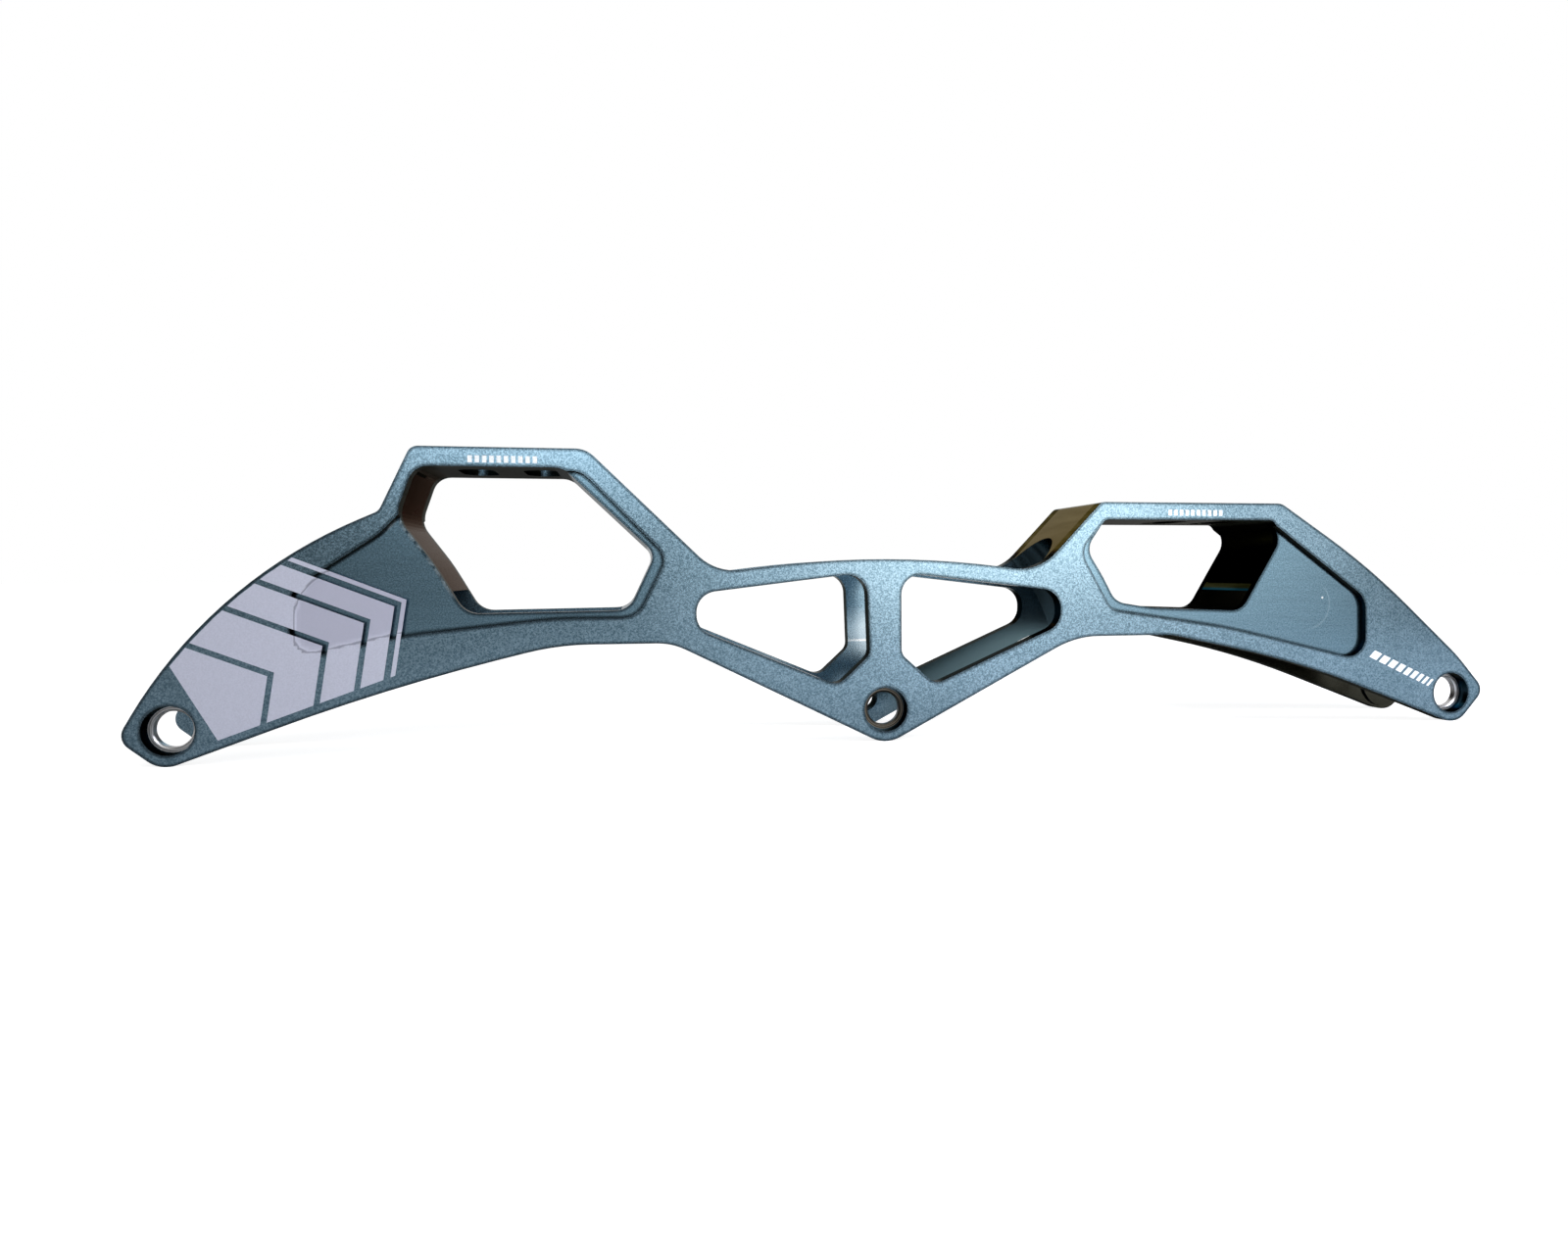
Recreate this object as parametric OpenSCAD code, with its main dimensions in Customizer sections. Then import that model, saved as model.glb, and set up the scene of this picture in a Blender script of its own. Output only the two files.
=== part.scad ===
// Three-wheel speed skate frame in anodised aluminium.
// +X points to the toe, +Y to the side with the threaded axle holes and +Z up to the boot.
// The origin is on the centre axle, half way between the two side walls.

/* [Wheels] */
// Diameter of the wheels that the frame carries
wheel_d = 125; // [122:0.5:126]
// Distance from one axle to the next
axle_pitch = 160; // [157:0.5:163]
// Space between an end wheel's tread and the web round it
end_wheel_gap = 1; // [0.8:0.1:1.4]
// Space between the centre wheel's tread and the webs round it
centre_wheel_gap = 2.5; // [1.8:0.1:2.8]
// Radius of the wells' rounded crown, which follows the tyre
crown_r = 14.5; // [13.5:0.5:18]

/* [Walls] */
// Width over both side walls
frame_w = 35; // [33:0.5:38]
// Thickness of one side wall
wall_t = 4.5; // [4:0.1:5.5]
// Depth of the pockets milled into the outer faces
pocket_depth = 2; // [1:0.1:2.6]
// Diameter of the raised face round each axle hole, inside the wall
boss_d = 14; // [13:0.5:15]
// Height of that raised face
boss_h = 0.9; // [0.5:0.1:1.2]

/* [Axle holes] */
// Diameter of the axle's shank
axle_d = 8; // [6:0.5:8.5]
// Diameter of the recess for the axle's head
head_d = 10.8; // [10.6:0.1:12]
// Depth of that recess
head_depth = 3.2; // [2.5:0.1:3.6]
// Outside diameter of the bright seat ring
seat_d = 10.2; // [9.8:0.1:10.4]
// Diameter drilled for the axle's thread
thread_drill_d = 7; // [5:0.5:7.5]
// Bevel on the edges of the axle holes
hole_bevel = 0.4; // [0.2:0.1:0.6]

/* [Decks] */
// Height of the heel deck above the top of the wheels
heel_over_wheels = 0.7; // [-1.3:0.2:2.7]
// Drop from the heel deck to the toe deck
deck_drop = 11.3; // [10.3:0.1:12.5]
// Thickness of the decks
deck_t = 4.5; // [3.5:0.1:5.5]
// Distance between the inner pair of mounting slots
inner_mount = 165; // [163:0.5:167]
// Distance between the outer pair of mounting slots
outer_mount = 195; // [193:0.5:197]
// Width of a mounting slot
slot_w = 8.3; // [6.5:0.1:9]
// Length of a mounting slot, across the frame
slot_l = 18; // [14:0.5:21]

/* [Webs] */
// Least thickness of the webs round the end wheels
end_web_t = 1.5; // [1.2:0.1:1.9]
// Least thickness of the webs round the centre wheel
centre_web_t = 1.6; // [1.2:0.1:1.9]
// Thickness of the centre wheel's webs below the windows
low_web_t = 3.6; // [3.2:0.1:5]
// Height up to which those webs keep that thickness
low_web_z = 38; // [37:0.5:40]
// Height of the lower end of the web behind the heel window
heel_web_z = 30; // [28:0.5:32]
// Height of the lower end of the web before the toe window
toe_web_z = 28.6; // [27:0.2:31]

/* [Outline] */
// Depth of the three feet below the axles
foot_drop = 8; // [7.6:0.1:9]
// Height of the walls' lower edge between the feet
rail_low_z = 17.3; // [16:0.1:18]
// Height of the notches between the decks and the middle rail
notch_z = 34; // [33:0.5:35]
// Height of the middle rail's crown, before it is rounded
crown_z = 39; // [38:0.5:40]
// Thickness of the middle rail over the triangles
mid_rail_t = 5; // [4:0.1:5.5]
// Width of the strut over the centre axle
strut_w = 8; // [6.5:0.5:9]

/* [Hidden] */

body_colour = "#5f8092";
inside_colour = "#4d6672";
seat_colour = "#c9ccd0";

// Greatest distance between an arc and the straight pieces that draw it
arc_error = 0.02;
// Extra length of a cutting shape past the faces that it cuts
past = 1;
$fn = 96;

heel_x = -axle_pitch;
toe_x = axle_pitch;
outer_y = frame_w / 2;
inner_y = outer_y - wall_t;
boss_y = inner_y - boss_h;

end_well_r = wheel_d / 2 + end_wheel_gap;
centre_well_r = wheel_d / 2 + centre_wheel_gap;
end_web_r = end_well_r + end_web_t;
centre_web_r = centre_well_r + centre_web_t;
heel_deck_z = wheel_d / 2 + heel_over_wheels;
toe_deck_z = heel_deck_z - deck_drop;
heel_roof_z = heel_deck_z - deck_t;
toe_roof_z = toe_deck_z - deck_t;
inner_slot_x = inner_mount / 2;
outer_slot_x = outer_mount / 2;

// A corner of an outline is [x, z, rounding radius].
// This one is placed by its distance and angle from an axle at axle_x.
function from_axle(axle_x, radius, angle, rounding) =
    [axle_x + radius * cos(angle), radius * sin(angle), rounding];

function unit(v) = v / norm(v);
function flat(corner) = [corner[0], corner[1]];
function arc_step(radius) = 2 * acos(1 - arc_error / radius);
// The shorter way round from one angle to another
function turn(from, to) = (to - from + 540) % 360 - 180;

// The points that round one corner between its neighbours
function corner_arc(before, corner, after) =
    corner[2] == 0 ? [flat(corner)] :
    let (
        to_before = unit(flat(before) - flat(corner)),
        to_after = unit(flat(after) - flat(corner)),
        half = acos(to_before * to_after) / 2,
        centre = flat(corner) + unit(to_before + to_after) * corner[2] / sin(half),
        first = flat(corner) + to_before * corner[2] / tan(half) - centre,
        last = flat(corner) + to_after * corner[2] / tan(half) - centre,
        start = atan2(first[1], first[0]),
        swing = turn(start, atan2(last[1], last[0])),
        steps = max(1, ceil(abs(swing) / arc_step(corner[2])))
    )
    [for (k = [0:steps])
        let (angle = start + swing * k / steps)
        centre + corner[2] * [cos(angle), sin(angle)]];

function rounded(corners) =
    let (n = len(corners))
    [for (i = [0:n - 1])
        each corner_arc(corners[(i + n - 1) % n], corners[i], corners[(i + 1) % n])];

// The side view, from the heel's tail over the decks to the toe and back along the feet
outline = [
    [heel_x - 10, -1.6, 3.5],
    from_axle(heel_x, end_well_r - 29.8, 75.2, 100),
    from_axle(heel_x, end_well_r + 1.2, 48.3, 2.5),
    [-outer_slot_x - 12.7, heel_deck_z, 2.5],
    [-inner_slot_x + 10.9, heel_deck_z, 6],
    [-41.5, notch_z, 12],
    [0, crown_z, 240],
    [40, notch_z, 13],
    [inner_slot_x - 25.3, toe_deck_z, 2],
    [outer_slot_x + 10.9, toe_deck_z, 4],
    from_axle(toe_x, end_well_r - 20.8, 125.85, 200),
    [toe_x + 2, 10.3, 40],
    [toe_x + 10.5, 0.6, 3.3],
    [toe_x + 1.7, -foot_drop - 0.9, 6],
    [toe_x - 46.5, 9.5, 250],
    [76.5, rail_low_z, 15],
    [50, rail_low_z, 25],
    [0, -foot_drop - 0.8, 8],
    [-52, rail_low_z, 15],
    [-78.2, rail_low_z, 60],
    [heel_x + 44.3, 8.1, 450],
    [heel_x - 1.3, -foot_drop - 0.65, 6],
];

heel_window = [
    [-outer_slot_x - 12.1, heel_roof_z, 4.5],
    from_axle(heel_x, end_web_r + 1.1, 45.3, 6),
    from_axle(heel_x, end_web_r + 0.4, 34, 60),
    from_axle(heel_x, end_web_r + 1, 22, 5.5),
    from_axle(0, centre_web_r + 0.3, 157.9, 5),
    from_axle(0, centre_web_r + 1.2, 145.3, 3.5),
    [-inner_slot_x + 5.7, heel_roof_z, 5],
];

toe_window = [
    [inner_slot_x - 23.7, toe_roof_z, 2],
    from_axle(0, centre_web_r + 0.2, 36.6, 4.5),
    from_axle(0, centre_web_r + 0.1, 29, 60),
    from_axle(0, centre_web_r + 0.3, 22.9, 5),
    [inner_slot_x - 10.5, 24.3, 40],
    from_axle(toe_x, end_web_r + 1.6, 159.5, 5),
    from_axle(toe_x, end_web_r + 0.4, 150, 60),
    from_axle(toe_x, end_web_r + 1.1, 139.8, 5),
    [outer_slot_x + 8.3, toe_roof_z, 1.5],
];

// The pockets run round the windows and on towards the ends. Their open sides lie inside the windows.
heel_pocket = [
    [-inner_slot_x + 9.3, heel_roof_z - 0.2, 6],
    [-53, 37.8, 4.5],
    [-60, 23.5, 5.5],
    [-79, 23.5, 100],
    [heel_x + 48, 20, 80],
    [heel_x + 24.5, 14.6, 5.5],
    [heel_x + 24.5, 30.4, 6],
    [heel_x + 42.8, 42.9, 12],
    [heel_x + 50.5, 51, 0],
    [-outer_slot_x - 3, heel_roof_z - 4, 0],
    [-inner_slot_x + 3, heel_roof_z - 1.5, 0],
];

toe_pocket = [
    [inner_slot_x - 24.3, toe_roof_z, 2],
    [51.3, 39.2, 4.5],
    [59.8, 24, 4.5],
    [93, 19, 150],
    [toe_x - 26.5, 9.3, 5.2],
    [toe_x - 26.5, 26.5, 6],
    [outer_slot_x + 7.4, toe_roof_z, 2],
];

// The two triangles beside the strut
rear_triangle = [
    [-strut_w / 2, 13.6, 3],
    [-12, 6.2, 3.5],
    [-46.2, notch_z - mid_rail_t - 8.4, 5],
    [-46.2, notch_z - mid_rail_t, 5],
    [-strut_w / 2 - 0.7, notch_z, mid_rail_t],
];

front_triangle = [
    [strut_w / 2, notch_z, mid_rail_t],
    [45.8, notch_z - mid_rail_t, 5],
    [45.8, notch_z - mid_rail_t - 8.6, 5],
    [12.6, 5.9, 3.5],
    [strut_w / 2, 13.6, 3],
];

// A plate of a given shape in X and Z, between two values of Y
module plate(from_y, to_y) {
    translate([0, to_y, 0])
        rotate([90, 0, 0])
            linear_extrude(to_y - from_y)
                children();
}

module round_bar(x, from_y, to_y, d) {
    translate([x, to_y, 0])
        rotate([90, 0, 0])
            cylinder(h = to_y - from_y, d = d);
}

// A bevel round the mouth of a hole of diameter d, from its face at face_y inwards, along Y or against it
module bevel_cut(x, face_y, inward, d) {
    translate([x, face_y, 0])
        rotate([-90 * inward, 0, 0])
            cylinder(h = hole_bevel, d1 = d + 2 * hole_bevel, d2 = d);
}

module windows() {
    polygon(rounded(heel_window));
    polygon(rounded(toe_window));
}

module triangles() {
    polygon(rounded(rear_triangle));
    polygon(rounded(front_triangle));
}

module pockets() {
    polygon(rounded(heel_pocket));
    polygon(rounded(toe_pocket));
}

// The space that a wheel turns in, with a crown that follows the tyre
module wheel_well(x, radius) {
    round_bar(x, -inner_y - past, inner_y + past, 2 * (radius - crown_r));
    translate([x, 0, 0])
        rotate([90, 0, 0])
            rotate_extrude()
                translate([radius - crown_r, 0])
                    circle(crown_r);
}

module wheel_wells() {
    wheel_well(heel_x, end_well_r);
    wheel_well(0, centre_well_r);
    wheel_well(toe_x, end_well_r);
}

// One side wall as a blank on the near side, with its windows, pockets and bosses
module wall_blank() {
    difference() {
        union() {
            plate(-outer_y, -inner_y)
                polygon(rounded(outline));
            for (x = [heel_x, 0, toe_x])
                round_bar(x, -inner_y - wall_t / 2, -boss_y, boss_d);
        }
        plate(-outer_y - past, -inner_y + past) {
            windows();
            triangles();
        }
        plate(-outer_y - past, -outer_y + pocket_depth)
            pockets();
    }
}

module near_side_wall() {
    color(body_colour)
        difference() {
            wall_blank();
            for (x = [heel_x, 0, toe_x]) {
                round_bar(x, -outer_y - past, -outer_y + head_depth, head_d);
                round_bar(x, -outer_y, -boss_y + past, seat_d);
            }
        }
}

module far_side_wall() {
    color(body_colour)
        difference() {
            mirror([0, 1, 0])
                wall_blank();
            for (x = [heel_x, 0, toe_x]) {
                round_bar(x, boss_y - past, outer_y + past, thread_drill_d);
                bevel_cut(x, boss_y, 1, thread_drill_d);
                bevel_cut(x, outer_y, -1, thread_drill_d);
            }
        }
}

// What one deck or web fills of the side view: the outline from one X and Z to another, less the windows
module infill(from_x, to_x, from_z, to_z) {
    difference() {
        intersection() {
            polygon(rounded(outline));
            translate([from_x, from_z])
                square([to_x - from_x, to_z - from_z]);
        }
        windows();
    }
}

// That side view made solid from wall to wall, with the wheel wells cut out
module between_walls() {
    difference() {
        plate(-inner_y, inner_y)
            children();
        wheel_wells();
    }
}

module slot(x, from_z, to_z) {
    for (side = [-1, 1])
        translate([x, side * (slot_l - slot_w) / 2, from_z])
            cylinder(h = to_z - from_z, d = slot_w);
    translate([x - slot_w / 2, -(slot_l - slot_w) / 2, from_z])
        cube([slot_w, slot_l - slot_w, to_z - from_z]);
}

// The deck between the centre axle and an end axle
module deck(axle_x, top_z) {
    difference() {
        between_walls()
            infill(min(axle_x, 0), max(axle_x, 0), top_z - deck_t, top_z + past);
        for (x = [inner_slot_x, outer_slot_x])
            slot(sign(axle_x) * x, top_z - deck_t - past, top_z + past);
    }
}

// The web between the centre wheel and a window, from the lower edge of the walls up to the deck
module centre_web(from_x, to_x, roof_z) {
    between_walls()
        intersection() {
            infill(from_x, to_x, -foot_drop, roof_z);
            union() {
                circle(centre_well_r + low_web_t);
                translate([from_x, low_web_z])
                    square([to_x - from_x, roof_z - low_web_z + past]);
            }
        }
}

module heel_deck() {
    color(body_colour)
        deck(heel_x, heel_deck_z);
}

module heel_rear_web() {
    color(inside_colour)
        between_walls()
            infill(heel_x, heel_x + end_web_r, heel_web_z, heel_roof_z);
}

module heel_front_web() {
    color(inside_colour)
        centre_web(heel_x + end_web_r, 0, heel_roof_z);
}

module toe_deck() {
    color(body_colour)
        deck(toe_x, toe_deck_z);
}

module toe_rear_web() {
    color(inside_colour)
        centre_web(0, toe_x - end_web_r, toe_roof_z);
}

module toe_front_web() {
    color(inside_colour)
        between_walls()
            infill(toe_x - end_web_r, toe_x, toe_web_z, toe_roof_z);
}

// The bright ring at the bottom of the recess for an axle's head
module axle_seat(x) {
    color(seat_colour)
        difference() {
            round_bar(x, -outer_y + head_depth, -boss_y, seat_d);
            round_bar(x, -outer_y, -boss_y + past, axle_d);
            bevel_cut(x, -outer_y + head_depth, 1, axle_d);
        }
}

module heel_axle_seat() {
    axle_seat(heel_x);
}

module centre_axle_seat() {
    axle_seat(0);
}

module toe_axle_seat() {
    axle_seat(toe_x);
}

near_side_wall();
far_side_wall();
heel_deck();
heel_rear_web();
heel_front_web();
toe_deck();
toe_rear_web();
toe_front_web();
heel_axle_seat();
centre_axle_seat();
toe_axle_seat();
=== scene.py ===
import math

import bmesh
import bpy
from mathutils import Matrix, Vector


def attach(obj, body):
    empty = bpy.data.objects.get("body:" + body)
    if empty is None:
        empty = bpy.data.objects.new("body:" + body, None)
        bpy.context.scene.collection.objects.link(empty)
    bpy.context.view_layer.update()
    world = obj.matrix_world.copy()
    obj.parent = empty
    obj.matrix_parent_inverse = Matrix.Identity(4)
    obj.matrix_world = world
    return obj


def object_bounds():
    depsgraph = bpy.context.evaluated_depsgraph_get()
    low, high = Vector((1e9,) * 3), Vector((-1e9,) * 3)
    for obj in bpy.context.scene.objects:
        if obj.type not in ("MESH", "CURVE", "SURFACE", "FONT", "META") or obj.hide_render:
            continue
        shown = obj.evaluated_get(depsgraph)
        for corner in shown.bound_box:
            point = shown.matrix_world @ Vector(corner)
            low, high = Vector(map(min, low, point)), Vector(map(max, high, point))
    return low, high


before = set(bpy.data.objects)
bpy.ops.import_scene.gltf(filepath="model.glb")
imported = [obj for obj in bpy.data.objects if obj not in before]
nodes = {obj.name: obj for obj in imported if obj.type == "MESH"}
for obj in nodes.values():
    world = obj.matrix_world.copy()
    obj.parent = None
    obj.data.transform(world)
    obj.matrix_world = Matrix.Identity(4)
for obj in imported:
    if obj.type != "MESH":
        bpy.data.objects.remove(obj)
for start_up in ("Cube", "Light", "Camera"):
    if start_up in bpy.data.objects:
        bpy.data.objects.remove(bpy.data.objects[start_up])
bpy.context.view_layer.update()
cad_low, cad_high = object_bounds()

# Sizes are written in millimetres, as in the frame's own drawing.
MM = 0.001
AXLE_PITCH = 160.0
# How far the walls' outer skins, pocket floors and inner sides lie from the middle
OUTER_Y = 17.5
POCKET_Y = 15.5
INNER_Y = 13.0
# Levels between those, which tell a skin from a pocket floor, and a floor from an inner side
SKIN_FROM_Y = (POCKET_Y + OUTER_Y) / 2
FLOOR_FROM_Y = INNER_Y + 0.5
# Both decks lie above this height, and nothing else that is flat does.
DECKS_FROM_Z = 50.0


# Helpers for every material


def colour(text):
    """An sRGB hex colour as the linear colour that Blender's sockets hold."""
    values = [int(text[i:i + 2], 16) / 255 for i in (1, 3, 5)]
    return (*(v / 12.92 if v <= 0.04045 else ((v + 0.055) / 1.055) ** 2.4 for v in values), 1.0)


def put(tree, kind, inputs=None, **settings):
    """Adds a node with its settings and links.

    An input goes by its number, or by its name among the sockets that the settings switch on. It
    gets a constant, a socket, or a node, whose first output that is switched on then feeds it.
    """
    node = tree.nodes.new(kind)
    for name, value in settings.items():
        setattr(node, name, value)
    for key, value in (inputs or {}).items():
        if isinstance(key, str):
            socket = next(s for s in node.inputs if s.enabled and s.name == key)
        else:
            socket = node.inputs[key]
        if isinstance(value, bpy.types.Node):
            value = next(s for s in value.outputs if s.enabled)
        if isinstance(value, bpy.types.NodeSocket):
            tree.links.new(value, socket)
        else:
            socket.default_value = value
    return node


def new_material(name):
    """An empty material, with each point's place in the frame in millimetres."""
    material = bpy.data.materials.new(name)
    material.use_nodes = True
    tree = material.node_tree
    tree.nodes.clear()
    metres = put(tree, "ShaderNodeTexCoord").outputs["Object"]
    place = put(tree, "ShaderNodeVectorMath", {0: metres, "Scale": 1 / MM}, operation="SCALE")
    return material, tree, place


def from_nearest_axle(tree, apart):
    """The way from the nearest axle's centre line to each point, from the place's X, Y and Z."""
    half = AXLE_PITCH / 2
    along = put(tree, "ShaderNodeMath", {0: apart["X"], 1: half, 2: -half}, operation="WRAP")
    return put(tree, "ShaderNodeCombineXYZ", {"X": along, "Z": apart["Z"]})


# The frame's own metal, layer by layer


def kinds_of_surface(tree, apart, normal):
    """Tells the body's surfaces apart. Each kind's value is 1 on that kind and 0 elsewhere.

    With them come the way that the surface faces, and how far it lies from the middle.
    """
    facing = put(tree, "ShaderNodeSeparateXYZ", {"Vector": normal}).outputs
    across = put(tree, "ShaderNodeMath", {0: apart["Y"]}, operation="ABSOLUTE")
    sidewards = put(tree, "ShaderNodeMath", {0: facing["Y"]}, operation="ABSOLUTE")
    over = {}
    for name, value, limit in (
        ("flat_side", sidewards, 0.97),
        ("flat_top", facing["Z"], 0.9),
        ("deck_height", apart["Z"], DECKS_FROM_Z),
        ("past_floor", across, SKIN_FROM_Y),
        ("past_inner", across, FLOOR_FROM_Y),
    ):
        over[name] = put(tree, "ShaderNodeMath", {0: value, 1: limit}, operation="GREATER_THAN")
    both = {}
    for name, first, second in (
        ("deck_top", over["flat_top"], over["deck_height"]),
        ("outer_side", over["flat_side"], over["past_floor"]),
        ("wall_side", over["flat_side"], over["past_inner"]),
    ):
        both[name] = put(tree, "ShaderNodeMath", {0: first, 1: second}, operation="MULTIPLY")
    skin = put(
        tree, "ShaderNodeMath", {0: both["outer_side"], 1: both["deck_top"]}, operation="MAXIMUM"
    )
    pocket_floor = put(
        tree, "ShaderNodeMath", {0: both["wall_side"], 1: both["outer_side"]}, operation="SUBTRACT"
    )
    inner_side = put(
        tree, "ShaderNodeMath", {0: over["flat_side"], 1: both["wall_side"]}, operation="SUBTRACT"
    )

    # A wheel well's surface faces its own axle, and lies just outside the wheel's tread.
    outward = from_nearest_axle(tree, apart)
    reach = put(tree, "ShaderNodeVectorMath", {0: outward}, operation="LENGTH")
    towards = put(tree, "ShaderNodeVectorMath", {0: outward, 1: normal}, operation="DOT_PRODUCT")
    inwards = put(
        tree, "ShaderNodeMapRange", {"Value": towards, "From Min": -18.0, "From Max": -26.0},
        interpolation_type="SMOOTHSTEP",
    )
    near_tread = put(
        tree, "ShaderNodeMapRange", {"Value": reach, "From Min": 66.0, "From Max": 65.4},
        interpolation_type="SMOOTHSTEP",
    )
    well = put(tree, "ShaderNodeMath", {0: inwards, 1: near_tread}, operation="MULTIPLY")
    underside = put(
        tree, "ShaderNodeMapRange", {"Value": facing["Z"], "From Min": -0.6, "From Max": -0.85}
    )
    return {
        "facing": facing, "across": across, "flat_side": over["flat_side"], "skin": skin,
        "pocket_floor": pocket_floor, "inner_side": inner_side, "well": well,
        "underside": underside,
    }


def blasted_grain(tree, place):
    """Bead-blasting's grain, and the dyed skins' colour with that grain in it."""
    # Blasting grit is 0.1 to 0.2 mm. It is drawn at 0.36 mm, as fine as the render can show.
    grit = put(
        tree, "ShaderNodeTexNoise",
        {"Vector": place, "Scale": 1 / 0.36, "Detail": 2.0, "Roughness": 0.6},
    )
    grit_share = put(
        tree, "ShaderNodeMapRange", {"Value": grit, "From Min": 0.36, "From Max": 0.64}
    )
    # The dye took unevenly over patches of about 18 mm.
    clouds = put(
        tree, "ShaderNodeTexNoise", {"Vector": place, "Scale": 1 / 18.0, "Detail": 3.0}
    )
    cloud_share = put(
        tree, "ShaderNodeMapRange", {"Value": clouds, "From Min": 0.35, "From Max": 0.65}
    )
    grain = put(
        tree, "ShaderNodeMix",
        {"Factor": grit_share, "A": colour("#637f8e"), "B": colour("#98b4c4")}, data_type="RGBA",
    )
    patchy = put(
        tree, "ShaderNodeMix",
        {"Factor": cloud_share, "A": colour("#f0f2f2"), "B": colour("#ffffff")}, data_type="RGBA",
    )
    blasted = put(
        tree, "ShaderNodeMix", {"Factor": 1.0, "A": grain, "B": patchy},
        data_type="RGBA", blend_type="MULTIPLY",
    )
    return grit, grit_share, blasted


def milled_floor(tree, place, grit_share):
    """The pocket floors: the blasting is fainter there, and the cutter's lines still show."""
    # The cutter stepped over by about 0.5 mm, and its lines run along the frame.
    stretched = put(
        tree, "ShaderNodeMapping", {"Vector": place, "Scale": (1 / 12.0, 1.0, 1 / 0.5)}
    )
    cutter_lines = put(
        tree, "ShaderNodeTexNoise", {"Vector": stretched, "Scale": 1.0, "Detail": 3.0}
    )
    line_share = put(
        tree, "ShaderNodeMapRange", {"Value": cutter_lines, "From Min": 0.3, "From Max": 0.7}
    )
    smooth = put(
        tree, "ShaderNodeMix",
        {"Factor": grit_share, "A": colour("#617f8e"), "B": colour("#819faf")}, data_type="RGBA",
    )
    streaks = put(
        tree, "ShaderNodeMix",
        {"Factor": line_share, "A": colour("#f2f2f2"), "B": colour("#ffffff")}, data_type="RGBA",
    )
    milled = put(
        tree, "ShaderNodeMix", {"Factor": 1.0, "A": smooth, "B": streaks},
        data_type="RGBA", blend_type="MULTIPLY",
    )
    return cutter_lines, milled


def cut_faces(tree, place, apart, on, axis, tones):
    """The faces that the side of the cutter left, in the given tones along one axis."""
    cut = colour(tones[0][1])
    for (low, _), (high, text) in zip(tones, tones[1:]):
        share = put(
            tree, "ShaderNodeMapRange",
            {"Value": apart[axis], "From Min": low, "From Max": high},
            interpolation_type="SMOOTHSTEP",
        )
        cut = put(
            tree, "ShaderNodeMix", {"Factor": share, "A": cut, "B": colour(text)},
            data_type="RGBA",
        )
    # The cutter left bands about 3 mm wide along its own axis.
    banded = put(
        tree, "ShaderNodeMapping", {"Vector": place, "Scale": (1 / 3.0, 1 / 20.0, 1 / 3.0)}
    )
    bands = put(tree, "ShaderNodeTexNoise", {"Vector": banded, "Scale": 1.0, "Detail": 2.0})
    band_share = put(
        tree, "ShaderNodeMapRange", {"Value": bands, "From Min": 0.35, "From Max": 0.65}
    )
    shade = put(
        tree, "ShaderNodeMix",
        {"Factor": band_share, "A": colour("#d8d8d8"), "B": colour("#ffffff")}, data_type="RGBA",
    )
    cut = put(
        tree, "ShaderNodeMix", {"Factor": 1.0, "A": cut, "B": shade},
        data_type="RGBA", blend_type="MULTIPLY",
    )
    # The heel mount's rear, outside the window, was blasted with the skins and is bluer than the
    # window's faces, whose brown is a painted reflection. The undersides are painted dark olive for
    # the shade under the frame, and the wheel wells dark blue-grey for the shade in these hollows.
    rearwards = put(
        tree, "ShaderNodeMapRange",
        {"Value": on["facing"]["X"], "From Min": -0.05, "From Max": -0.2},
    )
    at_heel = put(
        tree, "ShaderNodeMapRange", {"Value": apart["X"], "From Min": -60.0, "From Max": -64.0}
    )
    heel_rear = put(tree, "ShaderNodeMath", {0: rearwards, 1: at_heel}, operation="MULTIPLY")
    for share, text in (
        (heel_rear, "#5b717d"), (on["underside"], "#2b2c25"), (on["well"], "#3a4a50")
    ):
        cut = put(
            tree, "ShaderNodeMix", {"Factor": share, "A": cut, "B": colour(text)},
            data_type="RGBA",
        )
    return cut


def between_walls(tree, apart, blasted):
    """The walls' inner sides, blasted, with painted light behind the strut and painted shade
    towards the toe.
    """
    towards_toe = put(
        tree, "ShaderNodeMapRange", {"Value": apart["X"], "From Min": 4.0, "From Max": 12.0}
    )
    beside_toe = put(
        tree, "ShaderNodeMapRange", {"Value": apart["X"], "From Min": 56.0, "From Max": 60.0}
    )
    at_strut = put(
        tree, "ShaderNodeMapRange", {"Value": apart["X"], "From Min": -30.0, "From Max": -24.0}
    )
    low_down = put(
        tree, "ShaderNodeMapRange", {"Value": apart["Z"], "From Min": 25.0, "From Max": 19.0}
    )
    above_foot = put(
        tree, "ShaderNodeMapRange", {"Value": apart["Z"], "From Min": 9.0, "From Max": 13.0}
    )
    painted_shade = put(tree, "ShaderNodeMath", {0: towards_toe, 1: low_down}, operation="MULTIPLY")
    painted_light = put(
        tree, "ShaderNodeMath", {0: at_strut, 1: towards_toe}, operation="SUBTRACT",
        use_clamp=True,
    )
    for part in (low_down, above_foot):
        painted_light = put(tree, "ShaderNodeMath", {0: painted_light, 1: part}, operation="MULTIPLY")
    # A thin painted highlight runs 15.5 mm above the axles behind the strut.
    above_line = put(tree, "ShaderNodeMath", {0: apart["Z"], 1: 15.5}, operation="SUBTRACT")
    off_line = put(tree, "ShaderNodeMath", {0: above_line}, operation="ABSOLUTE")
    near_line = put(
        tree, "ShaderNodeMapRange", {"Value": off_line, "From Min": 0.45, "From Max": 0.1}
    )
    painted_highlight_line = put(tree, "ShaderNodeMath", {0: near_line, 1: painted_light}, operation="MULTIPLY")
    # Painted light behind the strut, painted shade low down towards the toe and beside the toe, and
    # the painted highlight line.
    inner = blasted
    for share, text in (
        (painted_light, "#bccdd6"), (painted_shade, "#4e6165"), (painted_highlight_line, "#ffffff"), (beside_toe, "#45443a")
    ):
        inner = put(
            tree, "ShaderNodeMix", {"Factor": share, "A": inner, "B": colour(text)},
            data_type="RGBA",
        )
    return inner


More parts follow.
